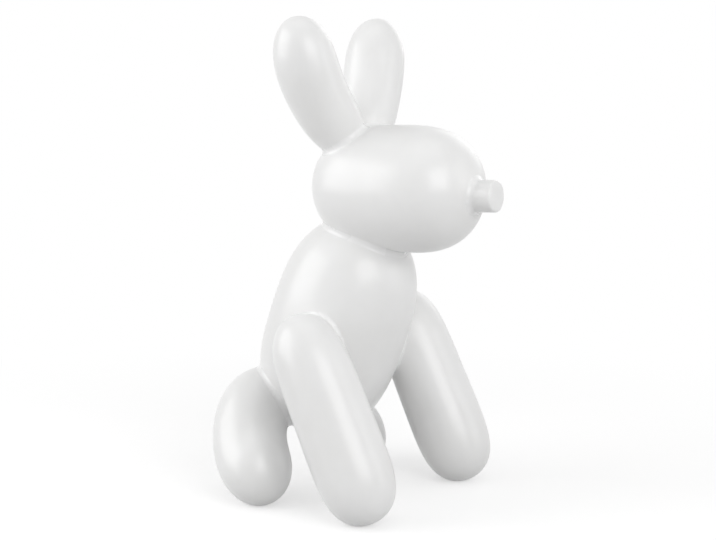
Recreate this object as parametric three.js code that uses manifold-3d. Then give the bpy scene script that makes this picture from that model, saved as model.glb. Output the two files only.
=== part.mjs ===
import * as THREE from "three";
import { mergeVertices } from "three/addons/utils/BufferGeometryUtils.js";
import Module from "manifold-3d";

const wasm = await Module();
wasm.setup();

// Sitting balloon dog in white glazed clay: hollow castings joined by fillets of slip
// Millimetres and degrees, Z up. The dog faces -Y, its left side is +X and its feet stand on Z = 0

// Clay walls, the gap between joined pieces and the depth ground flat on each foot
const bodyWall = 4.5;
const headWall = 4.5;
const earWall = 4;
const frontLegWall = 4.5;
const hindLegWall = 4.5;
const jointGap = 0.3;
const footFlat = 0.5;

// Body: an egg that leans forward, placed by its centre
const bodyLength = 122.5;
const bodyRadius = 36.8;
const bodyFullness = 2.89;
const bodyLean = 20.5;
const bodyBack = 20.85;
const bodyHeight = 88.7;

// Head: a level barrel, a little larger in front, that sits on the body's top end
const headLength = 93.4;
const headRadius = 32.3;
const headFullness = 3.12;
const headTaper = 0.04;
const headForward = 15.6;
const neckSink = 14.9;

// Nose: a blunt stub on the head's front end
const noseLength = 22.8;
const noseRadius = 8.1;
const noseFullness = 30;
const noseReach = 11.2;
const noseDrop = 1.4;
const noseTilt = 2.4;

// Ears: long bubbles, fuller at the tip, that bow outwards from their sunken lower ends near the middle
const earLength = 77.8;
const earRadius = 15.85;
const earFullness = 3.34;
const earTaper = 0.08;
const earSplay = 26.3;
const earSweep = 9.5;
const earBowOut = 17.9;
const earBowBack = 6.9;
const earSpread = 1.8;
const earBack = 23.8;
const earSink = 11.6;

// Front legs: sausages, fuller at the foot, whose upper ends lean back against the body's sides
const frontLegLength = 110.9;
const frontLegRadius = 19.6;
const frontLegFullness = 4.96;
const frontLegTaper = -0.05;
const frontLegSplay = -0.3;
const frontLegRake = 25.3;
const shoulderSink = 7.2;
const shoulderForward = 1.2;

// Hind legs: bent sausages from the foot round the heel and rump to the hip,
// placed from the body's side and lower end
const hindLegRadius = 19.5;
const hindLegFullness = 4.29;
const footOut = 18.8;
const footForward = 17.2;
const heelOut = -1.1;
const heelBack = 17.6;
const heelRise = 3.1;
const rumpOut = 1.7;
const rumpBack = 13.7;
const rumpRise = 27.9;
const hipOut = 3;
const hipBack = 10.5;
const hipRise = 13.7;

// Holes that let air out of the hollow castings
const bodyVentRadius = 5;
const neckVentRadius = 6;
const earVentRadius = 3;
const shoulderVentRadius = 4;
const hipVentRadius = 4;

// Slip fillets
const neckFillet = 3;
const noseFillet = 4;
const earFillet = 3.2;
const shoulderFillet = 2.8;
const hipFillet = 2.8;

// Steps along an axis and an outline, sides of a hole, stations round a seam and steps across its fillet
const axisSteps = 120;
const outlineSteps = 48;
const holeSides = 12;
const seamStations = 26;
const filletSteps = 3;

// Tries that lower a foot onto the ground, clear a point off a skin and settle a seam's spot,
// the small move that slopes are measured over, and the most that a spot moves in one try
const groundTries = 8;
const clearTries = 4;
const settleTries = 40;
const settleMove = 0.001;
const mostMove = 1.8;

// Facets round each casting and rings along it
const bigOutside = [34, 20];
const bigInside = [18, 10];
const noseOutside = [20, 16];
const earOutside = [24, 18];
const frontLegOutside = [26, 16];
const hindLegOutside = [26, 20];
const straightInside = [12, 8];
const bentInside = [12, 12];

const glaze = { color: 0xf1f0ed, roughness: 0.38, metalness: 0 };
const slip = { color: 0xf6f5f2, roughness: 0.32, metalness: 0 };

const rad = THREE.MathUtils.degToRad;
const vec = (x, y, z) => new THREE.Vector3(x, y, z);

// A balloon is a bubble of revolution along a curve; fullness 2 is an ellipsoid and more is blunter
function balloon(curve, radius, fullness, taper) {
  const side = vec(0, 0, 0).crossVectors(curve.getTangentAt(0), curve.getTangentAt(1));
  if (side.length() < 1e-6) side.set(1, 0, 0);
  side.normalize();
  const half = curve.getLength() / 2;
  const stations = [];
  for (let i = 0; i <= axisSteps; i += 1) {
    const along = curve.getTangentAt(i / axisSteps);
    const across = side.clone().addScaledVector(along, -side.dot(along)).normalize();
    const up = vec(0, 0, 0).crossVectors(across, along);
    stations.push({ point: curve.getPointAt(i / axisSteps), along, across, up });
  }
  const shape = (u) => (1 + taper * u) * Math.sqrt(Math.max(0, 1 - Math.abs(u) ** fullness));
  const outline = [];
  for (let i = 0; i <= outlineSteps; i += 1) {
    const u = Math.sin((i / outlineSteps - 0.5) * Math.PI);
    outline.push([half * u, radius * shape(u)]);
  }
  return { stations, half, radius, shape, outline };
}

// Where the lathe's point goes once its axis follows the balloon's curve
function bend(bubble, point) {
  const place = (point.y / bubble.half + 1) * 0.5 * axisSteps;
  const low = Math.min(Math.max(Math.floor(place), 0), axisSteps - 1);
  const share = Math.min(Math.max(place - low, 0), 1);
  const from = bubble.stations[low];
  const to = bubble.stations[low + 1];
  const beyond = ((place - low - share) * 2 * bubble.half) / axisSteps;
  const along = from.along.clone().lerp(to.along, share).normalize();
  const across = from.across.clone().lerp(to.across, share).normalize();
  const up = from.up.clone().lerp(to.up, share).normalize();
  const centre = from.point.clone().lerp(to.point, share).addScaledVector(along, beyond);
  return centre.addScaledVector(across, point.x).addScaledVector(up, point.z);
}

// How far a point is off a balloon's skin, negative inside, and the way straight out of the skin there
function clearance(bubble, point) {
  let nearest = 0;
  let least = Infinity;
  bubble.stations.forEach((station, i) => {
    const away = station.point.distanceToSquared(point);
    if (away < least) {
      least = away;
      nearest = i;
    }
  });
  const { along } = bubble.stations[nearest];
  const slide = point.clone().sub(bubble.stations[nearest].point).dot(along);
  const y = ((2 * nearest) / axisSteps - 1) * bubble.half + slide;
  const sideways = point.clone().sub(bend(bubble, vec(0, y, 0)));
  const out = sideways.length();
  let best = Infinity;
  let miss = [0, 0];
  for (let i = 0; i < outlineSteps; i += 1) {
    const [y0, r0] = bubble.outline[i];
    const [y1, r1] = bubble.outline[i + 1];
    const run = (y1 - y0) ** 2 + (r1 - r0) ** 2;
    const t = ((y - y0) * (y1 - y0) + (out - r0) * (r1 - r0)) / run;
    const k = Math.min(Math.max(t, 0), 1);
    const here = [y - y0 - k * (y1 - y0), out - r0 - k * (r1 - r0)];
    if (Math.hypot(...here) < best) {
      best = Math.hypot(...here);
      miss = here;
    }
  }
  const u = y / bubble.half;
  const sign = Math.abs(u) < 1 && out < bubble.radius * bubble.shape(u) ? -1 : 1;
  const way = along.clone().multiplyScalar(sign * miss[0]).addScaledVector(sideways, (sign * miss[1]) / out);
  return { off: sign * best, way: way.normalize() };
}
const distance = (bubble, point) => clearance(bubble, point).off;
const outward = (bubble, point) => clearance(bubble, point).way;

// A point moved until it clears a balloon's skin by the joint's gap
function onto(bubble, point) {
  const here = point.clone();
  for (let n = 0; n < clearTries; n += 1) {
    here.addScaledVector(outward(bubble, here), jointGap - distance(bubble, here));
  }
  return here;
}

// A closed geometry as a solid for cutting
function solid(geometry) {
  geometry.deleteAttribute("normal");
  geometry.deleteAttribute("uv");
  const merged = mergeVertices(geometry, 1e-4);
  const index = merged.index.array;
  const kept = [];
  for (let i = 0; i < index.length; i += 3) {
    const [a, b, c] = [index[i], index[i + 1], index[i + 2]];
    if (a !== b && b !== c && c !== a) kept.push(a, b, c);
  }
  const vertProperties = merged.attributes.position.array;
  const triVerts = new Uint32Array(kept);
  return new wasm.Manifold(new wasm.Mesh({ numProp: 3, vertProperties, triVerts }));
}

// A balloon's solid, grown or shrunk evenly, with facets round it and rings along it
function skin(bubble, grow, [around, rings]) {
  const half = bubble.half + grow;
  const radius = bubble.radius + grow;
  const outline = [];
  for (let i = 0; i <= rings; i += 1) {
    const u = Math.sin((i / rings - 0.5) * Math.PI);
    const onAxis = i === 0 || i === rings;
    outline.push(new THREE.Vector2(onAxis ? 0 : radius * bubble.shape(u), half * u));
  }
  const geometry = new THREE.LatheGeometry(outline, around);
  const position = geometry.attributes.position;
  for (let i = 0; i < position.count; i += 1) {
    const moved = bend(bubble, vec(position.getX(i), position.getY(i), position.getZ(i)));
    position.setXYZ(i, moved.x, moved.y, moved.z);
  }
  return solid(geometry);
}

// A round hole from one point to another
function drill(from, to, radius) {
  const run = to.clone().sub(from);
  const geometry = new THREE.CylinderGeometry(radius, radius, run.length(), holeSides);
  const turn = new THREE.Quaternion().setFromUnitVectors(vec(0, 1, 0), run.clone().normalize());
  geometry.applyQuaternion(turn);
  const middle = from.clone().add(to).multiplyScalar(0.5);
  geometry.translate(middle.x, middle.y, middle.z);
  return solid(geometry);
}

// Middle of the stretch of one balloon's skin that lies inside another
function sunkenMiddle(one, other) {
  const sum = vec(0, 0, 0);
  let weight = 0;
  one.outline.forEach(([y, r]) => {
    for (let j = 0; j < outlineSteps; j += 1) {
      const turn = (j / outlineSteps) * 2 * Math.PI;
      const point = bend(one, vec(r * Math.cos(turn), y, r * Math.sin(turn)));
      if (distance(other, point) < 0) {
        sum.addScaledVector(point, r);
        weight += r;
      }
    }
  });
  return sum.divideScalar(weight);
}

// The lens that two balloons share: its middle, and the way across it from the second to the first
function lens(first, second) {
  const near = sunkenMiddle(second, first);
  const far = sunkenMiddle(first, second);
  const axis = far.clone().sub(near).normalize();
  return { centre: near.clone().add(far).multiplyScalar(0.5), axis };
}

// A spot in a half plane, its rise along the joint's axis and its run out from it, equally far off both skins
function settle(first, second, at, start, off) {
  const miss = (spot) => {
    const point = at(spot);
    return [distance(first, point) - off, distance(second, point) - off];
  };
  let spot = start;
  if (!spot) {
    const span = Math.max(first.half, second.half);
    let least = Infinity;
    for (let i = -outlineSteps; i <= outlineSteps; i += 1) {
      for (let j = 1; j <= outlineSteps; j += 1) {
        const here = [(span * i) / outlineSteps / 3, (span * j) / outlineSteps];
        const away = Math.hypot(...miss(here));
        if (away < least) {
          least = away;
          spot = here;
        }
      }
    }
  }
  for (let n = 0; n < settleTries; n += 1) {
    const [a, b] = miss(spot);
    if (Math.hypot(a, b) < settleMove / 10) break;
    const slope = (moved) => miss(moved).map((value, k) => (value - [a, b][k]) / settleMove);
    const [aRise, bRise] = slope([spot[0] + settleMove, spot[1]]);
    const [aRun, bRun] = slope([spot[0], spot[1] + settleMove]);
    const scale = aRise * bRun - aRun * bRise;
    const rise = (bRun * a - aRun * b) / scale;
    const run = (aRise * b - bRise * a) / scale;
    const ease = Math.min(1, mostMove / Math.hypot(rise, run));
    spot = [spot[0] - ease * rise, spot[1] - ease * run];
  }
  return spot;
}

// The fillet of slip that a ball rolls round the joint of two balloons
function seam(first, second, fillet) {
  const { centre, axis } = lens(first, second);
  const level = Math.abs(axis.z) < 0.9 ? vec(0, 0, 1) : vec(0, 1, 0);
  const right = vec(0, 0, 0).crossVectors(axis, level).normalize();
  const over = vec(0, 0, 0).crossVectors(axis, right);
  const rings = [];
  let inner = null;
  let outer = null;
  for (let i = 0; i < seamStations; i += 1) {
    const turn = (i / seamStations) * 2 * Math.PI;
    const way = right.clone().multiplyScalar(Math.cos(turn)).addScaledVector(over, Math.sin(turn));
    const at = ([rise, run]) => centre.clone().addScaledVector(axis, rise).addScaledVector(way, run);
    inner = settle(first, second, at, inner, jointGap);
    outer = settle(first, second, at, outer, fillet + jointGap);
    const crease = at(inner);
    const ball = at(outer);
    const touchFirst = ball.clone().addScaledVector(outward(first, ball), -fillet);
    const touchSecond = ball.clone().addScaledVector(outward(second, ball), -fillet);
    const ring = [crease, onto(first, crease.clone().lerp(touchFirst, 0.5)), touchFirst];
    for (let k = 1; k < filletSteps; k += 1) {
      const arm = touchFirst.clone().lerp(touchSecond, k / filletSteps).sub(ball);
      ring.push(ball.clone().addScaledVector(arm.normalize(), fillet));
    }
    ring.push(touchSecond, onto(second, crease.clone().lerp(touchSecond, 0.5)));
    rings.push(ring);
  }
  const size = rings[0].length;
  const index = [];
  for (let i = 0; i < seamStations; i += 1) {
    const next = (i + 1) % seamStations;
    for (let k = 0; k < size; k += 1) {
      const beside = (k + 1) % size;
      index.push(i * size + k, next * size + k, next * size + beside);
      index.push(i * size + k, next * size + beside, i * size + beside);
    }
  }
  const geometry = new THREE.BufferGeometry().setFromPoints(rings.flat());
  geometry.setIndex(index);
  const made = solid(geometry);
  if (made.volume() > 0) return made;
  geometry.setIndex(index.reverse());
  return solid(geometry);
}

// The largest of the separate pieces that a cut leaves
function largest(made) {
  return made.decompose().reduce((one, other) => (one.volume() > other.volume() ? one : other));
}

// Body axis from the rump up to the neck
const bodyAxis = vec(0, -Math.sin(rad(bodyLean)), Math.cos(rad(bodyLean)));
const bodyCentre = vec(0, bodyBack, bodyHeight);
const bodyTop = bodyCentre.clone().addScaledVector(bodyAxis, bodyLength / 2);
const bodyEnd = bodyCentre.clone().addScaledVector(bodyAxis, -bodyLength / 2);
const body = balloon(new THREE.LineCurve3(bodyEnd, bodyTop), bodyRadius, bodyFullness, 0);

// Head axis from the back of the head to the front
const headCentre = vec(0, bodyTop.y - headForward, bodyTop.z + headRadius - neckSink);
const headBackEnd = headCentre.clone().add(vec(0, headLength / 2, 0));
const headFrontEnd = headCentre.clone().add(vec(0, -headLength / 2, 0));
const head = balloon(new THREE.LineCurve3(headBackEnd, headFrontEnd), headRadius, headFullness, headTaper);

// Nose axis, its tip ahead of the head's front end
const noseAxis = vec(0, -Math.cos(rad(noseTilt)), Math.sin(rad(noseTilt)));
const noseTip = vec(0, headFrontEnd.y - noseReach, headCentre.z - noseDrop);
const noseRoot = noseTip.clone().addScaledVector(noseAxis, -noseLength);
const nose = balloon(new THREE.LineCurve3(noseRoot, noseTip), noseRadius, noseFullness, 0);

// Ear axis on one side, from the end sunk in the head to the tip
function earOn(side) {
  const axis = vec(side * Math.tan(rad(earSplay)), Math.tan(rad(earSweep)), 1).normalize();
  const u = -earBack / (headLength / 2);
  const headHere = headRadius * head.shape(u);
  const rise = Math.sqrt(Math.max(0, headHere ** 2 - earSpread ** 2));
  const low = headCentre.clone().add(vec(side * earSpread, earBack, rise - earSink));
  const tip = low.clone().addScaledVector(axis, earLength);
  const bow = vec(side * earBowOut, earBowBack, 0).addScaledVector(low.clone().add(tip), 0.5);
  return balloon(new THREE.QuadraticBezierCurve3(low, bow, tip), earRadius, earFullness, earTaper);
}

// Height of a balloon's lowest point
function lowest(bubble) {
  let low = Infinity;
  bubble.outline.forEach(([y, r]) => {
    const centre = bend(bubble, vec(0, y, 0));
    const across = bend(bubble, vec(1, y, 0)).z - centre.z;
    const up = bend(bubble, vec(0, y, 1)).z - centre.z;
    low = Math.min(low, centre.z - r * Math.hypot(across, up));
  });
  return low;
}

// Front leg axis on one side, from the foot on the ground to the end beside the body's axis
function frontLegOn(side) {
  const axis = vec(side * Math.tan(rad(frontLegSplay)), Math.tan(rad(frontLegRake)), 1).normalize();
  const legAt = (height) => {
    const topZ = height + axis.z * frontLegLength;
    const topY = bodyCentre.y - (topZ - bodyCentre.z) * Math.tan(rad(bodyLean)) - shoulderForward;
    const midX = side * (bodyRadius + frontLegRadius - shoulderSink);
    const top = vec(midX + (axis.x * frontLegLength) / 2, topY, topZ);
    const foot = top.clone().addScaledVector(axis, -frontLegLength);
    return balloon(new THREE.LineCurve3(foot, top), frontLegRadius, frontLegFullness, frontLegTaper);
  };
  return legAt(-lowest(legAt(0)) - footFlat);
}

// Hind leg axis on one side, from the foot round the heel to the hip, its foot lowered onto the ground
function hindLegOn(side) {
  const legAt = (height) => {
    const foot = vec(side * (bodyRadius + footOut), bodyEnd.y - footForward, height);
    const heel = vec(side * (bodyRadius + heelOut), bodyEnd.y + heelBack, height + heelRise);
    const rump = vec(side * (bodyRadius + rumpOut), bodyEnd.y + rumpBack, bodyEnd.z + rumpRise);
    const hip = vec(side * hipOut, bodyEnd.y + hipBack, bodyEnd.z + hipRise);
    const curve = new THREE.CubicBezierCurve3(foot, heel, rump, hip);
    return balloon(curve, hindLegRadius, hindLegFullness, 0);
  };
  let height = hindLegRadius;
  for (let n = 0; n < groundTries; n += 1) height -= lowest(legAt(height)) + footFlat;
  return legAt(height);
}

const sides = [
  { name: "right", side: -1 },
  { name: "left", side: 1 },
].map(({ name, side }) => {
  return { name, side, ear: earOn(side), frontLeg: frontLegOn(side), hindLeg: hindLegOn(side) };
});

// The ground that the feet are flattened on, and the half of space past the middle that ears and hips stop at
const farAway = bodyLength + headLength + earLength + frontLegLength;
const groundBox = new THREE.BoxGeometry(2 * farAway, 2 * farAway, farAway);
groundBox.translate(0, 0, -farAway / 2);
const ground = solid(groundBox);
function otherHalf(side) {
  const box = new THREE.BoxGeometry(farAway, 2 * farAway, 2 * farAway);
  box.translate(-side * (farAway / 2 - jointGap / 2), 0, 0);
  return solid(box);
}

// The clearances that neighbours are cut to
const bodyRoom = skin(body, jointGap, bigOutside);
const headRoom = skin(head, jointGap, bigOutside);

// Air holes through each joint
function ventBetween(first, second, radius, reach) {
  const { centre, axis } = lens(first, second);
  const from = centre.clone().addScaledVector(axis, -reach);
  const to = centre.clone().addScaledVector(axis, reach);
  return drill(from, to, radius);
}
const neckVent = ventBetween(body, head, neckVentRadius, headRadius - headWall);
const earVents = sides.map(({ ear }) => ventBetween(head, ear, earVentRadius, headRadius / 2));
const shoulderVents = sides.map(({ frontLeg }) => {
  return ventBetween(body, frontLeg, shoulderVentRadius, frontLegRadius - frontLegWall / 2);
});
const hipVents = sides.map(({ hindLeg }) => ventBetween(body, hindLeg, hipVentRadius, hindLegRadius));
const bodyVent = drill(bodyEnd.clone().addScaledVector(bodyAxis, -bodyWall), bodyCentre, bodyVentRadius);

// Body and head castings
const bodyInside = skin(body, -bodyWall, bigInside);
const headInside = skin(head, -headWall, bigInside);
let bodyShell = skin(body, 0, bigOutside).subtract(bodyInside).subtract(headRoom).subtract(bodyVent);
let headShell = skin(head, 0, bigOutside).subtract(headInside).subtract(neckVent);
shoulderVents.forEach((vent) => (bodyShell = bodyShell.subtract(vent)));
hipVents.forEach((vent) => (bodyShell = bodyShell.subtract(vent)));
earVents.forEach((vent) => (headShell = headShell.subtract(vent)));

// Scene graph
const dog = new THREE.Group();
const headGroup = new THREE.Group();
headGroup.position.copy(headCentre);
dog.add(headGroup);

function add(parent, name, made, centre, look) {
  const mesh = made.getMesh();
  const geometry = new THREE.BufferGeometry();
  geometry.setAttribute("position", new THREE.BufferAttribute(new Float32Array(mesh.vertProperties), 3));
  geometry.setIndex(new THREE.BufferAttribute(new Uint32Array(mesh.triVerts), 1));
  geometry.translate(-centre.x, -centre.y, -centre.z);
  const piece = new THREE.Mesh(geometry, new THREE.MeshStandardMaterial(look));
  piece.name = name;
  piece.position.copy(centre).sub(parent.position);
  parent.add(piece);
}

add(dog, "body_shell", bodyShell, bodyCentre, glaze);
add(headGroup, "head_shell", headShell, headCentre, glaze);
add(headGroup, "nose_stub", skin(nose, 0, noseOutside).subtract(headRoom), noseTip, glaze);
add(dog, "neck_seam", seam(body, head, neckFillet), bodyTop, slip);
add(headGroup, "nose_seam", seam(head, nose, noseFillet), noseTip, slip);
sides.forEach(({ name, side, ear, frontLeg, hindLeg }, i) => {
  const earRoot = ear.stations[0].point;
  const earInside = skin(ear, -earWall, bentInside);
  const earSolid = skin(ear, 0, earOutside).subtract(earInside).subtract(headRoom).subtract(otherHalf(side));
  const earSeam = seam(head, ear, earFillet).subtract(otherHalf(side));
  add(headGroup, `${name}_ear`, earSolid, earRoot, glaze);
  add(headGroup, `${name}_ear_seam`, earSeam, earRoot, slip);

  const frontInside = skin(frontLeg, -frontLegWall, straightInside).add(shoulderVents[i]);
  const frontWhole = skin(frontLeg, 0, frontLegOutside).subtract(frontInside);
  const frontSolid = frontWhole.subtract(bodyRoom).subtract(ground);
  const shoulder = frontLeg.stations[axisSteps].point;
  add(dog, `${name}_front_leg`, frontSolid, frontLeg.stations[0].point, glaze);
  add(dog, `${name}_shoulder_seam`, seam(body, frontLeg, shoulderFillet), shoulder, slip);

  const hindInside = skin(hindLeg, -hindLegWall, bentInside).add(hipVents[i]);
  const hindWhole = skin(hindLeg, 0, hindLegOutside).subtract(hindInside);
  const hindSolid = hindWhole.subtract(bodyRoom).subtract(ground).subtract(otherHalf(side));
  const hindRoom = skin(hindLeg, jointGap, hindLegOutside);
  const hipSeam = largest(seam(body, hindLeg, hipFillet).subtract(hindRoom).subtract(otherHalf(side)));
  add(dog, `${name}_hind_leg`, hindSolid, hindLeg.stations[0].point, glaze);
  add(dog, `${name}_hip_seam`, hipSeam, hindLeg.stations[axisSteps].point, slip);
});

export default dog;
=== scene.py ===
import math

import bmesh
import bpy
import numpy as np
from bpy.props import FloatProperty, FloatVectorProperty, IntProperty, PointerProperty
from mathutils import Matrix, Vector


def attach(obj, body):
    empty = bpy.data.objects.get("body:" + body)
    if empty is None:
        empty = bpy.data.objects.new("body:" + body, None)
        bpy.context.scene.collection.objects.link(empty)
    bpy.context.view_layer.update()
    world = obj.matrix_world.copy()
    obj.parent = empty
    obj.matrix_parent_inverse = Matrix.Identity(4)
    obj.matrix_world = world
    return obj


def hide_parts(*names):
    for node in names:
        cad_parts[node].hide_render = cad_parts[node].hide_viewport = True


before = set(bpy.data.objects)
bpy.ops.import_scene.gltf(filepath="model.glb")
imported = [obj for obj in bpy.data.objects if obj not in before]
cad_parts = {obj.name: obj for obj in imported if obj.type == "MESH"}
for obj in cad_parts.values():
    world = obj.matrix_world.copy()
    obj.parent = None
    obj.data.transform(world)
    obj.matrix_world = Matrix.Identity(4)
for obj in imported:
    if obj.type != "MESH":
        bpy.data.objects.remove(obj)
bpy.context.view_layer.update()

bl_info = {
    "name": "Balloon Dog Ornament",
    "version": (1, 0, 0),
    "blender": (4, 5, 0),
    "location": "View3D > Sidebar > Balloon Dog",
    "description": "Sitting balloon dog in white satin-glazed clay, made of bubble castings joined by slip",
    "category": "Add Mesh",
}

# Metres in a millimetre; the sizes below are written in millimetres and kept in metres
MM = 0.001

# The dog's two sides, and which way each lies along X
SIDES = (("right", -1), ("left", 1))

# Steps along a bubble's axis, its outline and a bent path, about a joint, and round the air hole's rim
AXIS_STEPS = 240
OUTLINE_STEPS = 96
PATH_STEPS = 600
JOINT_STEPS = 48
RIM_STEPS = 7

# Lengths that count as none, the bend that counts as straight, and the steepest axis measured from upright
TINY = 1e-12
NO_BEND = 1e-6
STEEP = 0.9

# Tries that lower a foot onto the ground, sink points under a skin and raise folds onto it
GROUND_TRIES = 8
SINK_TRIES = 4
FOLD_TRIES = 6

# Tries that settle a spot of a fillet, the probe for its slope, the miss that will do and the longest move
SETTLE_TRIES = 40
PROBE = 0.001 * MM
SMALL_MISS = PROBE / 10
MOST_MOVE = 1.8 * MM

# Points closer than this are one, and shorter edges are dissolved
SAME_POINT = 0.002 * MM
SHORT_EDGE = 0.001 * MM

# Grain of the glaze's clouds, flow, ripple, roughness and pinholes, and of the ground foot's edge, per metre
CLOUD_GRAIN = 24.0
FLOW_GRAIN = 85.0
RIPPLE_GRAIN = 300.0
FINE_GRAIN = 1500.0
PINHOLE_GRAIN = 130.0
FOOT_EDGE_GRAIN = 700.0

# Clouds between these go from thick to thin glaze
THICK_CLOUD = 0.36
THIN_CLOUD = 0.66

# Share of the fine grain in the ripple, and size and depth of a pinhole in it
FINE_SHARE = 0.12
PINHOLE_SIZE = 0.035
PINHOLE_DEPTH = -0.5

# Depth of the ripple in the satin and the pooled glaze
SATIN_RIPPLE = 0.12 * MM
POOLED_RIPPLE = 0.1 * MM

# Heights between which a ground foot goes from bare clay to glaze, how uneven that edge is, and the bare
# clay's roughness
BARE_BELOW = 0.2 * MM
GLAZED_ABOVE = 0.55 * MM
UNEVEN_EDGE = 0.35 * MM
CLAY_ROUGHNESS = 0.85

# The floor's facets and grey, its lift where it is seen, and the distances between which it turns white
FLOOR_FACETS = 96
PAPER = (0.6, 0.6, 0.6, 1)
PAPER_LIFT = 0.5
SHADOW_NEAR = 0.16
WHITE_FAR = 0.45
WHITE = (1, 1, 1, 1)

# Width of the camera's sensor in millimetres and of the photograph in pixels
SENSOR_WIDTH = 36.0
PHOTO_WIDTH = 716.0

# Softboxes: metres rightwards, upwards and towards the camera from the point looked at, then width and height
SOFTBOXES = (
    ("key", (-0.93, 0.34, 0.12), 0.9, 0.8),
    ("fill", (0.44, 0.38, 0.8), 0.65, 0.6),
    ("side", (0.95, 0.3, 0.2), 0.4, 0.7),
    ("top", (0.05, 0.95, 0.1), 0.7, 0.7),
    ("back", (0.5, 0.45, -0.85), 0.6, 0.6),
)


def size_of(name, text, millimetres):
    """A length that a maker may change."""
    return FloatProperty(name=name, description=text, default=millimetres * MM, unit="LENGTH", precision=5)


def angle_of(name, text, degrees):
    """An angle that a maker may change."""
    return FloatProperty(name=name, description=text, default=math.radians(degrees), subtype="ANGLE")


def number_of(name, text, value):
    """A plain number that a maker may change."""
    return FloatProperty(name=name, description=text, default=value, precision=3)


def count_of(name, text, value):
    """A number of facets, rings or steps."""
    return IntProperty(name=name, description=text, default=value, min=3)


def colour_of(name, text, value):
    """A linear colour."""
    return FloatVectorProperty(
        name=name, description=text, default=value, subtype="COLOR", size=3, min=0, max=1
    )


class BodySizes(bpy.types.PropertyGroup):
    """The egg-shaped body."""

    length: size_of("Length", "From the body's lower end to its top end", 122.5)
    radius: size_of("Radius", "Radius at the body's middle", 36.8)
    fullness: number_of("Fullness", "2 is an ellipsoid, more is blunter", 2.89)
    lean: angle_of("Lean", "Forward lean of the body's axis", 20.5)
    back: size_of("Back", "Centre of the body behind the origin", 20.85)
    height: size_of("Height", "Centre of the body above the ground", 88.7)
    wall: size_of("Wall", "Thickness of the cast wall", 4.5)
    vent: size_of("Vent radius", "Air hole in the lower end", 5.0)
    vent_lip: size_of("Vent lip", "Rounding of the air hole's rim", 0.8)
    around: count_of("Facets", "Facets round the body", 128)
    rings: count_of("Rings", "Rings along the body", 96)


class HeadSizes(bpy.types.PropertyGroup):
    """The barrel head and the stub of a nose."""

    length: size_of("Length", "From the back of the head to its front", 93.4)
    radius: size_of("Radius", "Radius at the head's middle", 32.3)
    fullness: number_of("Fullness", "2 is an ellipsoid, more is blunter", 3.12)
    taper: number_of("Taper", "How much fuller the front is", 0.04)
    forward: size_of("Forward", "Centre of the head ahead of the body's top", 15.6)
    neck_sink: size_of("Neck sink", "How far the body's top goes into the head", 14.9)
    nose_length: size_of("Nose length", "Whole length of the nose stub", 22.8)
    nose_radius: size_of("Nose radius", "Radius of the nose stub", 8.1)
    nose_fullness: number_of("Nose fullness", "High for a blunt end", 30.0)
    nose_reach: size_of("Nose reach", "How far the nose stands out of the head", 11.2)
    nose_drop: size_of("Nose drop", "Nose tip below the head's middle", 1.4)
    nose_tilt: angle_of("Nose tilt", "How much the nose points up", 2.4)
    around: count_of("Facets", "Facets round the head", 128)
    rings: count_of("Rings", "Rings along the head", 96)


class EarSizes(bpy.types.PropertyGroup):
    """The two long ears."""

    length: size_of("Length", "Straight from the sunken end to the tip", 77.8)
    radius: size_of("Radius", "Radius at the ear's middle", 15.85)
    fullness: number_of("Fullness", "2 is an ellipsoid, more is blunter", 3.34)
    taper: number_of("Taper", "How much fuller the tip is", 0.08)
    splay: angle_of("Splay", "Outward lean of each ear", 26.3)
    sweep: angle_of("Sweep", "Backward lean of each ear", 9.5)
    bow_out: size_of("Bow out", "Outward bow of the ear's axis", 17.9)
    bow_back: size_of("Bow back", "Backward bow of the ear's axis", 6.9)
    spread: size_of("Spread", "Foot of the ear out from the middle", 1.8)
    back: size_of("Back", "Foot of the ear behind the head's middle", 23.8)
    sink: size_of("Sink", "How far the ear goes into the head", 11.6)
    around: count_of("Facets", "Facets round an ear", 96)
    rings: count_of("Rings", "Rings along an ear", 72)


class FrontLegSizes(bpy.types.PropertyGroup):
    """The two straight front legs."""

    length: size_of("Length", "From the foot to the upper end", 110.9)
    radius: size_of("Radius", "Radius at the leg's middle", 19.6)
    fullness: number_of("Fullness", "2 is an ellipsoid, more is blunter", 4.96)
    taper: number_of("Taper", "Below zero where the foot is fuller", -0.05)
    splay: angle_of("Splay", "Outward lean of the upper end", -0.3)
    rake: angle_of("Rake", "Backward lean of the upper end", 25.3)
    shoulder_sink: size_of("Shoulder sink", "How far the leg goes into the body's side", 7.2)
    shoulder_forward: size_of("Shoulder forward", "Upper end ahead of the body's axis", 1.2)
    foot_flat: size_of("Foot flat", "Depth ground off each foot", 0.5)
    around: count_of("Facets", "Facets round a leg", 112)
    rings: count_of("Rings", "Rings along a leg", 96)


class HindLegSizes(bpy.types.PropertyGroup):
    """The two bent hind legs."""

    radius: size_of("Radius", "Radius at the leg's middle", 19.5)
    fullness: number_of("Fullness", "2 is an ellipsoid, more is blunter", 4.29)
    foot_out: size_of("Foot out", "Foot beyond the body's side", 18.8)
    foot_forward: size_of("Foot forward", "Foot ahead of the body's lower end", 17.2)
    heel_out: size_of("Heel out", "Heel beyond the body's side", -1.1)
    heel_back: size_of("Heel back", "Heel behind the body's lower end", 17.6)
    heel_rise: size_of("Heel rise", "Heel above the foot", 3.1)
    rump_out: size_of("Rump out", "Rump beyond the body's side", 1.7)
    rump_back: size_of("Rump back", "Rump behind the body's lower end", 13.7)
    rump_rise: size_of("Rump rise", "Rump above the body's lower end", 27.9)
    hip_out: size_of("Hip out", "Hip out from the middle", 3.0)
    hip_back: size_of("Hip back", "Hip behind the body's lower end", 10.5)
    hip_rise: size_of("Hip rise", "Hip above the body's lower end", 13.7)
    around: count_of("Facets", "Facets round a leg", 112)
    rings: count_of("Rings", "Rings along a leg", 96)


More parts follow.
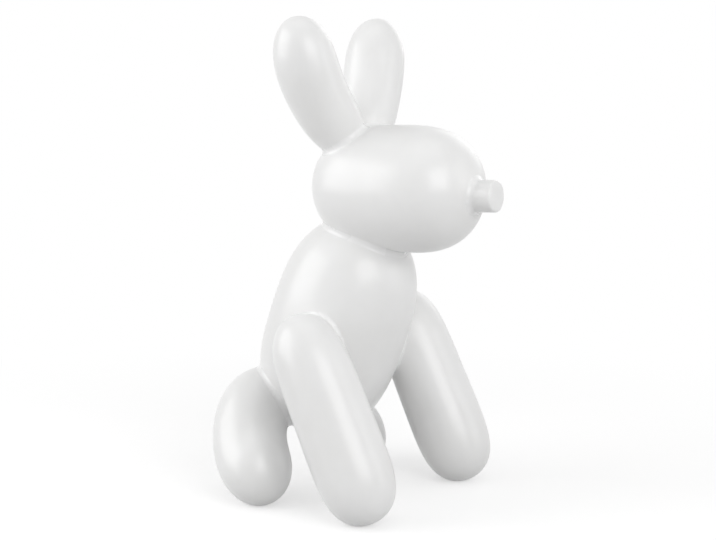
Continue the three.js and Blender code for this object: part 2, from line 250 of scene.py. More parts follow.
class SeamSizes(bpy.types.PropertyGroup):
    """The fillets of slip in the joints."""

    neck: size_of("Neck", "Fillet between head and body", 3.0)
    nose: size_of("Nose", "Fillet between nose and head", 4.0)
    ear: size_of("Ear", "Fillet round each ear", 3.2)
    shoulder: size_of("Shoulder", "Fillet round each front leg's joint", 2.8)
    hip: size_of("Hip", "Fillet round each hind leg's joint", 2.8)
    feather: size_of("Feather", "How far a fillet's edge goes under the glaze", 0.03)
    root: size_of("Root", "How far a fillet's root goes into the clay", 0.5)
    middle_gap: size_of("Middle gap", "Half the gap where paired pieces meet in the middle", 0.15)
    stations: count_of("Stations", "Steps round a joint", 120)
    steps: count_of("Steps", "Steps across a fillet", 10)


class GlazeLook(bpy.types.PropertyGroup):
    """The satin glaze, the pooled glaze on the slip and the bare clay under the feet."""

    glaze: colour_of("Glaze", "White satin glaze", (0.875, 0.875, 0.872))
    thin: colour_of("Thin glaze", "Where the glaze is thinner", (0.845, 0.844, 0.838))
    pooled: colour_of("Pooled glaze", "Where the glaze pools on the slip", (0.885, 0.885, 0.883))
    clay: colour_of("Bare clay", "Ground foot without glaze", (0.62, 0.57, 0.5))
    roughness: number_of("Roughness", "Roughness of the satin glaze", 0.3)
    pooled_roughness: number_of("Pooled roughness", "Roughness of the pooled glaze", 0.27)
    refraction: number_of("Refraction", "Refractive index of the glaze", 1.6)
    spread: number_of("Roughness spread", "How much the roughness changes", 0.08)
    peel: number_of("Peel", "Strength of the orange-peel ripple", 0.06)


class StageLook(bpy.types.PropertyGroup):
    """The camera, the floor and the studio light."""

    azimuth: angle_of("Azimuth", "Camera's bearing round the dog", -57.127)
    elevation: angle_of("Elevation", "Camera's height above the horizon", 7.807)
    distance: size_of("Distance", "Camera to the dog", 819.747)
    aim_back: size_of("Aim back", "Point looked at, behind the origin", 8.07)
    aim_height: size_of("Aim height", "Point looked at, above the ground", 119.305)
    focal: number_of("Focal length", "Focal length in pixels of the photograph's width", 1562.275)
    floor_radius: size_of("Floor radius", "Radius of the floor", 4000.0)
    key: number_of("Key", "Large softbox on the left, in watts", 4.9)
    fill: number_of("Fill", "Softbox in front on the right, in watts", 3.3)
    side: number_of("Side", "Softbox on the right, in watts", 0.8)
    top: number_of("Top", "Softbox above the dog, in watts", 0.85)
    back: number_of("Back", "Softbox behind the dog on the right, in watts", 1.0)
    ambient: number_of("Ambient", "Even light from all round", 0.46)


def unit(rows):
    """Rows of vectors at length one."""
    return rows / np.maximum(np.linalg.norm(rows, axis=-1, keepdims=True), TINY)


def turns(count):
    """Even angles round a full turn."""
    return np.arange(count) / count * 2 * math.pi


def places(steps):
    """Places along an axis from -1 to 1, closer together at both ends."""
    return np.sin(np.linspace(-0.5, 0.5, steps + 1) * math.pi)


class Bubble:
    """A balloon: a skin of revolution that follows a curve."""

    def __init__(self, path, radius, fullness, taper=0.0):
        self.radius = radius
        self.fullness = fullness
        self.taper = taper
        path = np.asarray(path, float)
        run = np.concatenate([[0.0], np.cumsum(np.linalg.norm(np.diff(path, axis=0), axis=1))])
        self.half = run[-1] / 2
        even = np.linspace(0.0, run[-1], AXIS_STEPS + 1)
        self.middle = np.stack([np.interp(even, run, path[:, k]) for k in range(3)], axis=1)
        self.along = unit(np.gradient(self.middle, axis=0))
        turn = np.cross(self.along[0], self.along[-1])
        if np.linalg.norm(turn) < NO_BEND:
            turn = np.array([1.0, 0.0, 0.0])
        self.across = unit(turn - (self.along @ turn)[:, None] * self.along)
        self.up = np.cross(self.across, self.along)
        self.outline = self.profile(places(OUTLINE_STEPS))

    def shape(self, u):
        """Share of the radius at a place along the axis, from -1 to 1."""
        return (1 + self.taper * u) * np.sqrt(np.maximum(0.0, 1 - np.abs(u) ** self.fullness))

    def profile(self, u, wall=0.0):
        """Distances along the axis and out from it of the skin, or of the inside under a wall."""
        return np.stack([(self.half - wall) * u, (self.radius - wall) * self.shape(u)], axis=1)

    def place(self, along, out, turn):
        """Points at a distance along the axis, a distance out from it and an angle round it."""
        station = np.clip((along / self.half + 1) * 0.5 * AXIS_STEPS, 0, AXIS_STEPS)
        low = np.minimum(station.astype(int), AXIS_STEPS - 1)
        share = (station - low)[:, None]
        middle = self.middle[low] * (1 - share) + self.middle[low + 1] * share
        across = unit(self.across[low] * (1 - share) + self.across[low + 1] * share)
        up = unit(self.up[low] * (1 - share) + self.up[low + 1] * share)
        return middle + out[:, None] * (np.cos(turn)[:, None] * across + np.sin(turn)[:, None] * up)

    def clearance(self, points):
        """How far points are off the skin, below zero inside, and the way straight out of it there."""
        nearest = ((points[:, None] - self.middle[None]) ** 2).sum(axis=2).argmin(axis=1)
        forward = self.along[nearest]
        slide = ((points - self.middle[nearest]) * forward).sum(axis=1)
        along = (2 * nearest / AXIS_STEPS - 1) * self.half + slide
        nothing = np.zeros_like(along)
        beyond = along - np.clip(along, -self.half, self.half)
        sideways = points - self.place(along, nothing, nothing) - beyond[:, None] * forward
        out = np.linalg.norm(sideways, axis=1)
        start = self.outline[:-1]
        step = np.diff(self.outline, axis=0)
        gap = np.stack([along, out], axis=1)[:, None] - start[None]
        share = np.clip((gap * step).sum(axis=2) / (step**2).sum(axis=1), 0, 1)
        miss = gap - share[:, :, None] * step
        choice = (miss**2).sum(axis=2).argmin(axis=1)
        miss = miss[np.arange(len(points)), choice]
        u = along / self.half
        inside = (np.abs(u) < 1) & (out < self.radius * self.shape(np.clip(u, -1, 1)))
        sign = np.where(inside, -1.0, 1.0)
        way = unit(sign[:, None] * (miss[:, :1] * forward + miss[:, 1:] * unit(sideways)))
        return sign * np.linalg.norm(miss, axis=1), way

    def distance(self, points):
        """How far points are off the skin, below zero inside."""
        return self.clearance(points)[0]

    def outward(self, points):
        """The way straight out of the skin at points."""
        return self.clearance(points)[1]

    def lowest(self):
        """Height of the skin's lowest point."""
        along, out = self.outline[:, 0], self.outline[:, 1]
        nothing = np.zeros_like(along)
        centre = self.place(along, nothing, nothing)[:, 2]
        across = self.place(along, nothing + 1, nothing)[:, 2] - centre
        up = self.place(along, nothing + 1, nothing + math.pi / 2)[:, 2] - centre
        return (centre - out * np.hypot(across, up)).min()


def straight(start, end):
    """A straight path between two points."""
    return [start, end]


def bezier(a, b, c, d):
    """A cubic Bezier path."""
    t = np.linspace(0, 1, PATH_STEPS)[:, None]
    return (1 - t) ** 3 * a + 3 * (1 - t) ** 2 * t * b + 3 * (1 - t) * t**2 * c + t**3 * d


def body_ends(scene):
    """The body's lower and top ends."""
    sizes = scene.dog_body
    centre = np.array([0.0, sizes.back, sizes.height])
    axis = np.array([0.0, -math.sin(sizes.lean), math.cos(sizes.lean)])
    return centre - axis * sizes.length / 2, centre + axis * sizes.length / 2


def body_bubble(scene):
    """The body's outside."""
    return Bubble(straight(*body_ends(scene)), scene.dog_body.radius, scene.dog_body.fullness)


def head_centre(scene):
    """The middle of the head."""
    top = body_ends(scene)[1]
    sizes = scene.dog_head
    return np.array([0.0, top[1] - sizes.forward, top[2] + sizes.radius - sizes.neck_sink])


def head_bubble(scene):
    """The head's outside, from its back to its front."""
    sizes = scene.dog_head
    reach = np.array([0.0, sizes.length / 2, 0.0])
    centre = head_centre(scene)
    return Bubble(straight(centre + reach, centre - reach), sizes.radius, sizes.fullness, sizes.taper)


def nose_bubble(scene):
    """The nose's outside, from its root in the head to its tip."""
    sizes = scene.dog_head
    centre = head_centre(scene)
    axis = np.array([0.0, -math.cos(sizes.nose_tilt), math.sin(sizes.nose_tilt)])
    tip = centre + np.array([0.0, -sizes.length / 2 - sizes.nose_reach, -sizes.nose_drop])
    return Bubble(straight(tip - axis * sizes.nose_length, tip), sizes.nose_radius, sizes.nose_fullness)


def ear_bubble(scene, side):
    """An ear's outside, from the end in the head to its tip."""
    sizes = scene.dog_ears
    head = head_bubble(scene)
    axis = unit(np.array([side * math.tan(sizes.splay), math.tan(sizes.sweep), 1.0]))
    here = head.radius * float(head.shape(np.array(-sizes.back / head.half)))
    rise = math.sqrt(max(0.0, here**2 - sizes.spread**2))
    low = head_centre(scene) + np.array([side * sizes.spread, sizes.back, rise - sizes.sink])
    tip = low + axis * sizes.length
    bow = (low + tip) / 2 + np.array([side * sizes.bow_out, sizes.bow_back, 0.0])
    path = bezier(low, (low + 2 * bow) / 3, (tip + 2 * bow) / 3, tip)
    return Bubble(path, sizes.radius, sizes.fullness, sizes.taper)


def front_leg_bubble(scene, side):
    """A front leg's outside, from the foot to the upper end beside the body's axis."""
    sizes = scene.dog_front_legs
    body = scene.dog_body
    axis = unit(np.array([side * math.tan(sizes.splay), math.tan(sizes.rake), 1.0]))

    def leg_at(height):
        top_z = height + axis[2] * sizes.length
        top_y = body.back - (top_z - body.height) * math.tan(body.lean) - sizes.shoulder_forward
        middle_x = side * (body.radius + sizes.radius - sizes.shoulder_sink)
        top = np.array([middle_x + axis[0] * sizes.length / 2, top_y, top_z])
        return Bubble(straight(top - axis * sizes.length, top), sizes.radius, sizes.fullness, sizes.taper)

    return leg_at(-leg_at(0.0).lowest() - sizes.foot_flat)


def hind_leg_bubble(scene, side):
    """A hind leg's outside, from the foot round the heel and rump to the hip."""
    sizes = scene.dog_hind_legs
    beside = scene.dog_body.radius
    end = body_ends(scene)[0]

    def spot(out, back, height):
        return np.array([side * out, end[1] + back, height])

    def leg_at(height):
        foot = spot(beside + sizes.foot_out, -sizes.foot_forward, height)
        heel = spot(beside + sizes.heel_out, sizes.heel_back, height + sizes.heel_rise)
        rump = spot(beside + sizes.rump_out, sizes.rump_back, end[2] + sizes.rump_rise)
        hip = spot(sizes.hip_out, sizes.hip_back, end[2] + sizes.hip_rise)
        return Bubble(bezier(foot, heel, rump, hip), sizes.radius, sizes.fullness)

    height = sizes.radius
    for _ in range(GROUND_TRIES):
        height -= leg_at(height).lowest() + scene.dog_front_legs.foot_flat
    return leg_at(height)


def turned(bubble, outline, around):
    """Points and faces of an outline turned round a bubble's axis, its two ends drawn in to the axis."""
    outline[[0, -1], 1] = 0.0
    rings = len(outline) - 2
    along = np.repeat(outline[1:-1, 0], around)
    out = np.repeat(outline[1:-1, 1], around)
    skin = bubble.place(along, out, np.tile(turns(around), rings))
    ends = bubble.place(outline[[0, -1], 0], np.zeros(2), np.zeros(2))
    points = np.concatenate([ends[:1], skin, ends[1:]])
    last = len(points) - 1
    faces = []
    for i in range(around):
        j = (i + 1) % around
        faces.append((0, 1 + j, 1 + i))
        for k in range(rings - 1):
            low, high = 1 + k * around, 1 + (k + 1) * around
            faces.append((low + i, low + j, high + j, high + i))
        faces.append((last, last - around + i, last - around + j))
    return points, faces


def whole_skin(bubble, around, rings):
    """Points and faces of a bubble's whole outside."""
    return turned(bubble, bubble.profile(places(rings)), around)


def vented_skin(bubble, wall, vent, lip, around, rings):
    """Points and faces of a hollow bubble with an air hole in its lower end."""
    u = places(rings)
    outside = bubble.profile(u)
    inside = bubble.profile(u, wall)
    outside = outside[(outside[:, 1] > vent + lip) | (u > 0)]
    inside = inside[(inside[:, 1] > vent + lip) | (u > 0)]
    sweep = np.linspace(0, 0.5, RIM_STEPS) * math.pi
    rim_out = outside[0, 0] + lip * 0.5
    rim = np.stack([rim_out - lip * np.cos(sweep[::-1]) * 0.5, vent + lip * (1 - np.cos(sweep))], axis=1)
    hole = np.array([[inside[0, 0], vent], [(inside[0, 0] + rim_out) / 2, vent]])
    return turned(bubble, np.concatenate([inside[::-1], hole, rim, outside]), around)


def sunk_under(bubble, points, depth):
    """Points moved straight to a depth under a skin."""
    for _ in range(SINK_TRIES):
        off, way = bubble.clearance(points)
        points = points - (off + depth)[:, None] * way
    return points


def unfolded(bubble, points):
    """Points of a bent skin, with those that fold under it raised onto it as a crease."""
    for _ in range(FOLD_TRIES):
        off, way = bubble.clearance(points)
        points = points - np.minimum(off, 0.0)[:, None] * way
    return points


def sunken_middle(one, other):
    """Middle of the stretch of one bubble's skin that lies inside another."""
    along = np.repeat(one.outline[:, 0], JOINT_STEPS)
    out = np.repeat(one.outline[:, 1], JOINT_STEPS)
    points = one.place(along, out, np.tile(turns(JOINT_STEPS), len(one.outline)))
    inside = other.distance(points) < 0
    if not inside.any():
        raise RuntimeError("two castings that should be joined don't touch")
    return np.average(points[inside], axis=0, weights=out[inside])


def settled(first, second, at, start, off):
    """A spot equally far off both skins: its rise along a joint's axis and its run out from it."""

    def miss(spots):
        points = at(np.atleast_2d(spots))
        return np.stack([first.distance(points), second.distance(points)], axis=1) - off

    spot = start
    if spot is None:
        span = max(first.half, second.half)
        rises = np.linspace(-span / 3, span / 3, 2 * JOINT_STEPS + 1)
        rise, run = np.meshgrid(rises, np.linspace(span / JOINT_STEPS, span, JOINT_STEPS))
        spots = np.stack([rise.ravel(), run.ravel()], axis=1)
        spot = spots[np.hypot(*miss(spots).T).argmin()]
    for _ in range(SETTLE_TRIES):
        here, rising, running = miss(np.array([spot, spot + [PROBE, 0], spot + [0, PROBE]]))
        if np.hypot(*here) < SMALL_MISS:
            break
        grade = np.stack([rising - here, running - here], axis=1) / PROBE
        step = np.linalg.solve(grade, here)
        spot = spot - step * min(1.0, MOST_MOVE / np.hypot(*step))
    return spot


def slip_fillet(first, second, fillet, sizes):
    """Points and faces of the fillet that a ball rolls round the joint of two bubbles."""
    near, far = sunken_middle(second, first), sunken_middle(first, second)
    centre, axis = (near + far) / 2, unit(far - near)
    level = np.array([0.0, 0.0, 1.0]) if abs(axis[2]) < STEEP else np.array([0.0, 1.0, 0.0])
    right = unit(np.cross(axis, level))
    over = np.cross(axis, right)
    crease_spot = ball_spot = None
    creases, balls = [], []
    for turn in turns(sizes.stations):
        way = right * math.cos(turn) + over * math.sin(turn)

        def at(spots):
            return centre + spots[:, :1] * axis + spots[:, 1:] * way

        crease_spot = settled(first, second, at, crease_spot, -sizes.root)
        ball_spot = settled(first, second, at, ball_spot, fillet - sizes.feather)
        creases.append(at(crease_spot[None])[0])
        balls.append(at(ball_spot[None])[0])
    creases, balls = np.array(creases), np.array(balls)
    arm_first = -first.outward(balls)
    arm_second = -second.outward(balls)
    touch_first, touch_second = balls + arm_first * fillet, balls + arm_second * fillet
    under_first = sunk_under(first, (creases + touch_first) / 2, sizes.root)
    under_second = sunk_under(second, (creases + touch_second) / 2, sizes.root)
    rows = [creases, under_first]
    for share in np.linspace(0, 1, sizes.steps + 1):
        rows.append(balls + unit(arm_first * (1 - share) + arm_second * share) * fillet)
    rows.append(under_second)
    width = len(rows)
    points = np.stack(rows, axis=1).reshape(-1, 3)
    faces = []
    for i in range(sizes.stations):
        j = (i + 1) % sizes.stations
        for k in range(width):
            m = (k + 1) % width
            faces.append((i * width + k, j * width + k, j * width + m, i * width + m))
    return points, faces


def on_the_ground(points):
    """Points below the ground raised to it, as a foot is ground flat."""
    points[:, 2] = np.maximum(points[:, 2], 0.0)
    return points


def on_its_side(points, side, gap):
    """Points kept on their own side of the middle plane."""
    points[:, 0] = side * np.maximum(side * points[:, 0], gap)
    return points


def clay_piece(name, points, faces, material, slot, *nodes):
    """A smooth piece of the dog that stands for CAD nodes and moves with the root."""
    mesh = bpy.data.meshes.new(name)
    mesh.from_pydata(np.asarray(points).tolist(), [], faces)
    work = bmesh.new()
    work.from_mesh(mesh)
    bmesh.ops.remove_doubles(work, verts=work.verts, dist=SAME_POINT)
    bmesh.ops.dissolve_degenerate(work, dist=SHORT_EDGE, edges=work.edges)
    bmesh.ops.recalc_face_normals(work, faces=work.faces)
    for face in work.faces:
        face.smooth = True
    work.to_mesh(mesh)
    work.free()
    mesh.materials.append(material)
    piece = bpy.data.objects.new(name, mesh)
    bpy.context.scene.collection.objects.link(piece)
    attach(piece, "root")
    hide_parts(*nodes)


def linked(tree, kind, inputs=None, **settings):
    """A node with its settings made and its inputs set or linked."""
    node = tree.nodes.new(kind)
    for key, value in settings.items():
        setattr(node, key, value)
    for key, value in (inputs or {}).items():
        if isinstance(value, bpy.types.NodeSocket):
            tree.links.new(value, node.inputs[key])
        else:
            node.inputs[key].default_value = value
    return node


def named_group(name, inputs, outputs):
    """An empty shader node group with named sockets."""
    group = bpy.data.node_groups.new(name, "ShaderNodeTree")
    for label, kind, value in inputs:
        socket = group.interface.new_socket(label, in_out="INPUT", socket_type=kind)
        socket.default_value = value
    for label, kind in outputs:
        group.interface.new_socket(label, in_out="OUTPUT", socket_type=kind)
    return group, group.nodes.new("NodeGroupInput"), group.nodes.new("NodeGroupOutput")


def glaze_group():
    """Glaze over clay: slow changes of colour and gloss, an orange-peel ripple and a few pinholes."""
    known = bpy.data.node_groups.get("glaze_skin")
    if known:
        return known
    group, entry, leave = named_group(
        "glaze_skin",
        [
            ("Thick", "NodeSocketColor", WHITE),
            ("Thin", "NodeSocketColor", WHITE),
            ("Roughness", "NodeSocketFloat", 0.5),
            ("Spread", "NodeSocketFloat", 0.0),
        ],
        [("Colour", "NodeSocketColor"), ("Roughness", "NodeSocketFloat"), ("Height", "NodeSocketFloat")],
    )
    place = linked(group, "ShaderNodeTexCoord").outputs["Object"]
    clouds = linked(
        group,
        "ShaderNodeTexNoise",
        {"Vector": place, "Scale": CLOUD_GRAIN, "Detail": 4.0, "Roughness": 0.55},
    )
    flow = linked(group, "ShaderNodeTexNoise", {"Vector": place, "Scale": FLOW_GRAIN, "Detail": 2.0})
    thickness = linked(
        group,
        "ShaderNodeMapRange",
        {"Value": clouds.outputs["Fac"], "From Min": THICK_CLOUD, "From Max": THIN_CLOUD},
        interpolation_type="SMOOTHSTEP",
    )
    colour = linked(
        group,
        "ShaderNodeMix",
        {0: thickness.outputs["Result"], 6: entry.outputs["Thick"], 7: entry.outputs["Thin"]},
        data_type="RGBA",
    )
    swing = linked(group, "ShaderNodeMath", {0: flow.outputs["Fac"], 1: 0.5}, operation="SUBTRACT")
    gloss = linked(
        group,
        "ShaderNodeMath",
        {0: swing.outputs[0], 1: entry.outputs["Spread"], 2: entry.outputs["Roughness"]},
        operation="MULTIPLY_ADD",
    )
    ripple = linked(group, "ShaderNodeTexNoise", {"Vector": place, "Scale": RIPPLE_GRAIN, "Detail": 1.5})
    grain = linked(group, "ShaderNodeTexNoise", {"Vector": place, "Scale": FINE_GRAIN, "Detail": 1.0})
    cells = linked(
        group,
        "ShaderNodeTexVoronoi",
        {"Vector": place, "Scale": PINHOLE_GRAIN, "Randomness": 1.0},
    )
    pinhole = linked(
        group,
        "ShaderNodeMapRange",
        {
            "Value": cells.outputs["Distance"],
            "From Min": 0.0,
            "From Max": PINHOLE_SIZE,
            "To Min": PINHOLE_DEPTH,
            "To Max": 0.0,
        },
        interpolation_type="SMOOTHSTEP",
    )
    fine = linked(
        group,
        "ShaderNodeMath",
        {0: grain.outputs["Fac"], 1: FINE_SHARE, 2: ripple.outputs["Fac"]},
        operation="MULTIPLY_ADD",
    )
    height = linked(
        group,
        "ShaderNodeMath",
        {0: fine.outputs[0], 1: pinhole.outputs["Result"]},
        operation="ADD",
    )
    group.links.new(colour.outputs[2], leave.inputs["Colour"])
    group.links.new(gloss.outputs[0], leave.inputs["Roughness"])
    group.links.new(height.outputs[0], leave.inputs["Height"])
    return group


def new_material(name):
    """A material with an empty node tree."""
    material = bpy.data.materials.new(name)
    material.use_nodes = True
    material.node_tree.nodes.clear()
    return material, material.node_tree


def glazed(tree, colour, roughness, height, ripple, look):
    """The shader of a rippled glaze, joined to the material's output."""
    bump = linked(tree, "ShaderNodeBump", {"Strength": look.peel, "Distance": ripple, "Height": height})
    shader = linked(
        tree,
        "ShaderNodeBsdfPrincipled",
        {
            "Base Color": colour,
            "Roughness": roughness,
            "IOR": look.refraction,
            "Normal": bump.outputs["Normal"],
        },
    )
    linked(tree, "ShaderNodeOutputMaterial", {"Surface": shader.outputs["BSDF"]})


def placed_glaze(tree, thick, thin, roughness, spread):
    """The glaze group placed in a material with its own values."""
    glaze = tree.nodes.new("ShaderNodeGroup")
    glaze.node_tree = glaze_group()
    glaze.inputs["Thick"].default_value = (*thick, 1)
    glaze.inputs["Thin"].default_value = (*thin, 1)
    glaze.inputs["Roughness"].default_value = roughness
    glaze.inputs["Spread"].default_value = spread
    return glaze


def satin_glaze(scene):
    """White satin glaze of the castings, with bare clay on the ground feet."""
    known = bpy.data.materials.get("satin_glaze")
    if known:
        return known
    look = scene.dog_glaze
    material, tree = new_material("satin_glaze")
    glaze = placed_glaze(tree, look.glaze, look.thin, look.roughness, look.spread)
    place = linked(tree, "ShaderNodeTexCoord").outputs["Object"]
    height = linked(tree, "ShaderNodeSeparateXYZ", {"Vector": place}).outputs["Z"]
    edge = linked(tree, "ShaderNodeTexNoise", {"Vector": place, "Scale": FOOT_EDGE_GRAIN, "Detail": 2.0})
    uneven = linked(
        tree,
        "ShaderNodeMath",
        {0: edge.outputs["Fac"], 1: UNEVEN_EDGE, 2: height},
        operation="MULTIPLY_ADD",
    )
    bare = linked(
        tree,
        "ShaderNodeMapRange",
        {
            "Value": uneven.outputs[0],
            "From Min": BARE_BELOW,
            "From Max": GLAZED_ABOVE,
            "To Min": 1.0,
            "To Max": 0.0,
        },
    ).outputs["Result"]
    colour = linked(
        tree,
        "ShaderNodeMix",
        {0: bare, 6: glaze.outputs["Colour"], 7: (*look.clay, 1)},
        data_type="RGBA",
    )
    gloss = linked(
        tree,
        "ShaderNodeMix",
        {0: bare, 2: glaze.outputs["Roughness"], 3: CLAY_ROUGHNESS},
        data_type="FLOAT",
    )
    glazed(tree, colour.outputs[2], gloss.outputs[0], glaze.outputs["Height"], SATIN_RIPPLE, look)
    return material


def pooled_glaze(scene):
    """Glaze that pooled on the slip fillets, a little whiter and glossier."""
    known = bpy.data.materials.get("pooled_glaze")
    if known:
        return known
    look = scene.dog_glaze
    material, tree = new_material("pooled_glaze")
    glaze = placed_glaze(tree, look.pooled, look.glaze, look.pooled_roughness, look.spread)
    glazed(tree, *glaze.outputs, POOLED_RIPPLE, look)
    return material


class DOG_OT_body(bpy.types.Operator):
    """Make the hollow body with its air hole"""

    bl_idname = "dog.body"
    bl_label = "Body"

    def execute(self, context):
        scene = context.scene
        sizes = scene.dog_body
        points, faces = vented_skin(
            body_bubble(scene), sizes.wall, sizes.vent, sizes.vent_lip, sizes.around, sizes.rings
        )
        clay_piece("dog_body", points, faces, satin_glaze(scene), "glaze", "body_shell")
        return {"FINISHED"}


class DOG_OT_head(bpy.types.Operator):
    """Make the head and the stub of a nose"""

    bl_idname = "dog.head"
    bl_label = "Head and nose"

    def execute(self, context):
        scene = context.scene
        sizes = scene.dog_head
        points, faces = whole_skin(head_bubble(scene), sizes.around, sizes.rings)
        clay_piece("dog_head", points, faces, satin_glaze(scene), "glaze", "head_shell")
        points, faces = whole_skin(nose_bubble(scene), sizes.around, sizes.rings)
        clay_piece("dog_nose", points, faces, satin_glaze(scene), "glaze", "nose_stub")
        return {"FINISHED"}


class DOG_OT_ears(bpy.types.Operator):
    """Make the two ears"""

    bl_idname = "dog.ears"
    bl_label = "Ears"

    def execute(self, context):
        scene = context.scene
        sizes = scene.dog_ears
        for name, side in SIDES:
            points, faces = whole_skin(ear_bubble(scene, side), sizes.around, sizes.rings)
            points = on_its_side(points, side, scene.dog_seams.middle_gap)
            clay_piece(f"dog_{name}_ear", points, faces, satin_glaze(scene), "glaze", f"{name}_ear")
        return {"FINISHED"}


class DOG_OT_front_legs(bpy.types.Operator):
    """Make the two front legs with their ground feet"""

    bl_idname = "dog.front_legs"
    bl_label = "Front legs"

    def execute(self, context):
        scene = context.scene
        sizes = scene.dog_front_legs
        for name, side in SIDES:
            points, faces = whole_skin(front_leg_bubble(scene, side), sizes.around, sizes.rings)
            points = on_the_ground(points)
            leg = f"{name}_front_leg"
            clay_piece(f"dog_{leg}", points, faces, satin_glaze(scene), "glaze", leg)
        return {"FINISHED"}


class DOG_OT_hind_legs(bpy.types.Operator):
    """Make the two bent hind legs with their ground feet"""

    bl_idname = "dog.hind_legs"
    bl_label = "Hind legs"

    def execute(self, context):
        scene = context.scene
        sizes = scene.dog_hind_legs
        for name, side in SIDES:
            leg = hind_leg_bubble(scene, side)
            points, faces = whole_skin(leg, sizes.around, sizes.rings)
            points = on_its_side(on_the_ground(unfolded(leg, points)), side, scene.dog_seams.middle_gap)
            clay_piece(f"dog_{name}_hind_leg", points, faces, satin_glaze(scene), "glaze", f"{name}_hind_leg")
        return {"FINISHED"}


class DOG_OT_seams(bpy.types.Operator):
    """Make the fillets of slip in all the joints"""

    bl_idname = "dog.seams"
    bl_label = "Slip fillets"

    def execute(self, context):
        scene = context.scene
        sizes = scene.dog_seams
        slip = pooled_glaze(scene)
        body, head = body_bubble(scene), head_bubble(scene)
        points, faces = slip_fillet(body, head, sizes.neck, sizes)
        clay_piece("dog_neck_slip", points, faces, slip, "seam_glaze", "neck_seam")
        points, faces = slip_fillet(head, nose_bubble(scene), sizes.nose, sizes)
        clay_piece("dog_nose_slip", points, faces, slip, "seam_glaze", "nose_seam")
        for name, side in SIDES:
            points, faces = slip_fillet(head, ear_bubble(scene, side), sizes.ear, sizes)
            points = on_its_side(points, side, sizes.middle_gap)
            clay_piece(f"dog_{name}_ear_slip", points, faces, slip, "seam_glaze", f"{name}_ear_seam")
            points, faces = slip_fillet(body, front_leg_bubble(scene, side), sizes.shoulder, sizes)
            shoulder = f"dog_{name}_shoulder_slip"
            clay_piece(shoulder, points, faces, slip, "seam_glaze", f"{name}_shoulder_seam")
            points, faces = slip_fillet(body, hind_leg_bubble(scene, side), sizes.hip, sizes)
            points = on_its_side(points, side, sizes.middle_gap)
            clay_piece(f"dog_{name}_hip_slip", points, faces, slip, "seam_glaze", f"{name}_hip_seam")
        return {"FINISHED"}


def seen_ray(tree):
    """One for rays that show the background, zero for the light that falls on the dog."""
    path = linked(tree, "ShaderNodeLightPath")
    first = linked(
        tree,
        "ShaderNodeMath",
        {0: path.outputs["Is Camera Ray"], 1: path.outputs["Is Glossy Ray"]},
        operation="MAXIMUM",
    )
    both = linked(
        tree,
        "ShaderNodeMath",
        {0: first.outputs[0], 1: path.outputs["Is Transmission Ray"]},
        operation="MAXIMUM",
    )
    return both.outputs[0]


def white_floor():
    """A pale floor that keeps the shadow near the dog and turns plain white further off."""
    material, tree = new_material("studio_floor")
    place = linked(tree, "ShaderNodeTexCoord").outputs["Object"]
    away = linked(tree, "ShaderNodeVectorMath", {0: place}, operation="LENGTH")
    far = linked(
        tree,
        "ShaderNodeMapRange",
        {"Value": away.outputs["Value"], "From Min": SHADOW_NEAR, "From Max": WHITE_FAR},
        interpolation_type="SMOOTHSTEP",
    ).outputs["Result"]
    paper = linked(tree, "ShaderNodeBsdfDiffuse", {"Color": PAPER})
    white = linked(tree, "ShaderNodeEmission", {"Color": WHITE, "Strength": 1.0})
    lift = linked(tree, "ShaderNodeEmission", {"Color": WHITE, "Strength": PAPER_LIFT})
    near = linked(tree, "ShaderNodeAddShader", {0: paper.outputs[0], 1: lift.outputs[0]})
    shown = linked(tree, "ShaderNodeMixShader", {0: far, 1: near.outputs[0], 2: white.outputs[0]})
    whole = linked(tree, "ShaderNodeMixShader", {0: seen_ray(tree), 1: paper.outputs[0], 2: shown.outputs[0]})
    linked(tree, "ShaderNodeOutputMaterial", {"Surface": whole.outputs[0]})
    return material


def studio_world(scene, ambient):
    """Even light on the dog and a white background behind it."""
    world = bpy.data.worlds.new("studio")
    world.use_nodes = True
    tree = world.node_tree
    tree.nodes.clear()
    light = linked(tree, "ShaderNodeBackground", {"Color": WHITE, "Strength": ambient})
    white = linked(tree, "ShaderNodeBackground", {"Color": WHITE, "Strength": 1.0})
    mixed = linked(tree, "ShaderNodeMixShader", {0: seen_ray(tree), 1: light.outputs[0], 2: white.outputs[0]})
    output = linked(tree, "ShaderNodeOutputWorld", {"Surface": mixed.outputs[0]})
    output.is_active_output = True
    scene.world = world


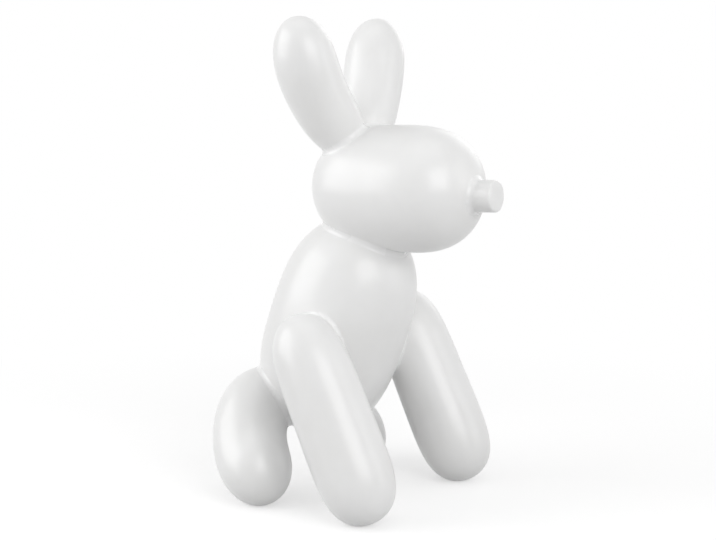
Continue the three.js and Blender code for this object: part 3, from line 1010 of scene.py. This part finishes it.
class DOG_OT_stage(bpy.types.Operator):
    """Make the floor, the soft light and the camera"""

    bl_idname = "dog.stage"
    bl_label = "Stage"

    def execute(self, context):
        scene = context.scene
        look = scene.dog_stage
        aim = Vector((0, look.aim_back, look.aim_height))
        turn, rise = look.azimuth, look.elevation
        back = Vector((math.sin(turn) * math.cos(rise), -math.cos(turn) * math.cos(rise), math.sin(rise)))
        right = Vector((math.cos(turn), math.sin(turn), 0))
        ahead = Vector((math.sin(turn), -math.cos(turn), 0))
        view = bpy.data.cameras.new("photo_view")
        view.sensor_fit = "HORIZONTAL"
        view.sensor_width = SENSOR_WIDTH
        view.lens = SENSOR_WIDTH * look.focal / PHOTO_WIDTH
        camera = bpy.data.objects.new("photo_view", view)
        basis = Matrix((right, back.cross(right), back)).transposed().to_4x4()
        camera.matrix_world = Matrix.Translation(aim + back * look.distance) @ basis
        scene.collection.objects.link(camera)
        scene.camera = camera

        for name, (sideways, upwards, forwards), width, height in SOFTBOXES:
            lamp = bpy.data.lights.new(f"{name}_softbox", "AREA")
            lamp.shape = "RECTANGLE"
            lamp.size, lamp.size_y = width, height
            lamp.energy = getattr(look, name)
            light = bpy.data.objects.new(f"{name}_softbox", lamp)
            light.location = aim + right * sideways + Vector((0, 0, upwards)) + ahead * forwards
            light.rotation_mode = "QUATERNION"
            light.rotation_quaternion = (aim - light.location).to_track_quat("-Z", "Y")
            scene.collection.objects.link(light)
        studio_world(scene, look.ambient)

        mesh = bpy.data.meshes.new("studio_floor")
        work = bmesh.new()
        bmesh.ops.create_circle(work, cap_ends=True, radius=look.floor_radius, segments=FLOOR_FACETS)
        work.to_mesh(mesh)
        work.free()
        mesh.materials.append(white_floor())
        floor = bpy.data.objects.new("studio_floor", mesh)
        scene.collection.objects.link(floor)
        scene.view_settings.view_transform = "Standard"
        return {"FINISHED"}


class DOG_PT_panel(bpy.types.Panel):
    """The dog's pieces and the stage"""

    bl_idname = "DOG_PT_panel"
    bl_label = "Balloon Dog"
    bl_space_type = "VIEW_3D"
    bl_region_type = "UI"
    bl_category = "Balloon Dog"

    def draw(self, context):
        for step in STEPS:
            self.layout.operator(step.bl_idname)


STEPS = (
    DOG_OT_body,
    DOG_OT_head,
    DOG_OT_ears,
    DOG_OT_front_legs,
    DOG_OT_hind_legs,
    DOG_OT_seams,
    DOG_OT_stage,
)
GROUPS = {
    "dog_body": BodySizes,
    "dog_head": HeadSizes,
    "dog_ears": EarSizes,
    "dog_front_legs": FrontLegSizes,
    "dog_hind_legs": HindLegSizes,
    "dog_seams": SeamSizes,
    "dog_glaze": GlazeLook,
    "dog_stage": StageLook,
}


def register():
    for name, group in GROUPS.items():
        bpy.utils.register_class(group)
        setattr(bpy.types.Scene, name, PointerProperty(type=group))
    for step in STEPS:
        bpy.utils.register_class(step)
    bpy.utils.register_class(DOG_PT_panel)


def unregister():
    bpy.utils.unregister_class(DOG_PT_panel)
    for step in reversed(STEPS):
        bpy.utils.unregister_class(step)
    for name, group in reversed(GROUPS.items()):
        delattr(bpy.types.Scene, name)
        bpy.utils.unregister_class(group)


def main():
    register()
    bpy.ops.dog.body()
    bpy.ops.dog.head()
    bpy.ops.dog.ears()
    bpy.ops.dog.front_legs()
    bpy.ops.dog.hind_legs()
    bpy.ops.dog.seams()
    bpy.ops.dog.stage()


if __name__ == "__main__":
    main()
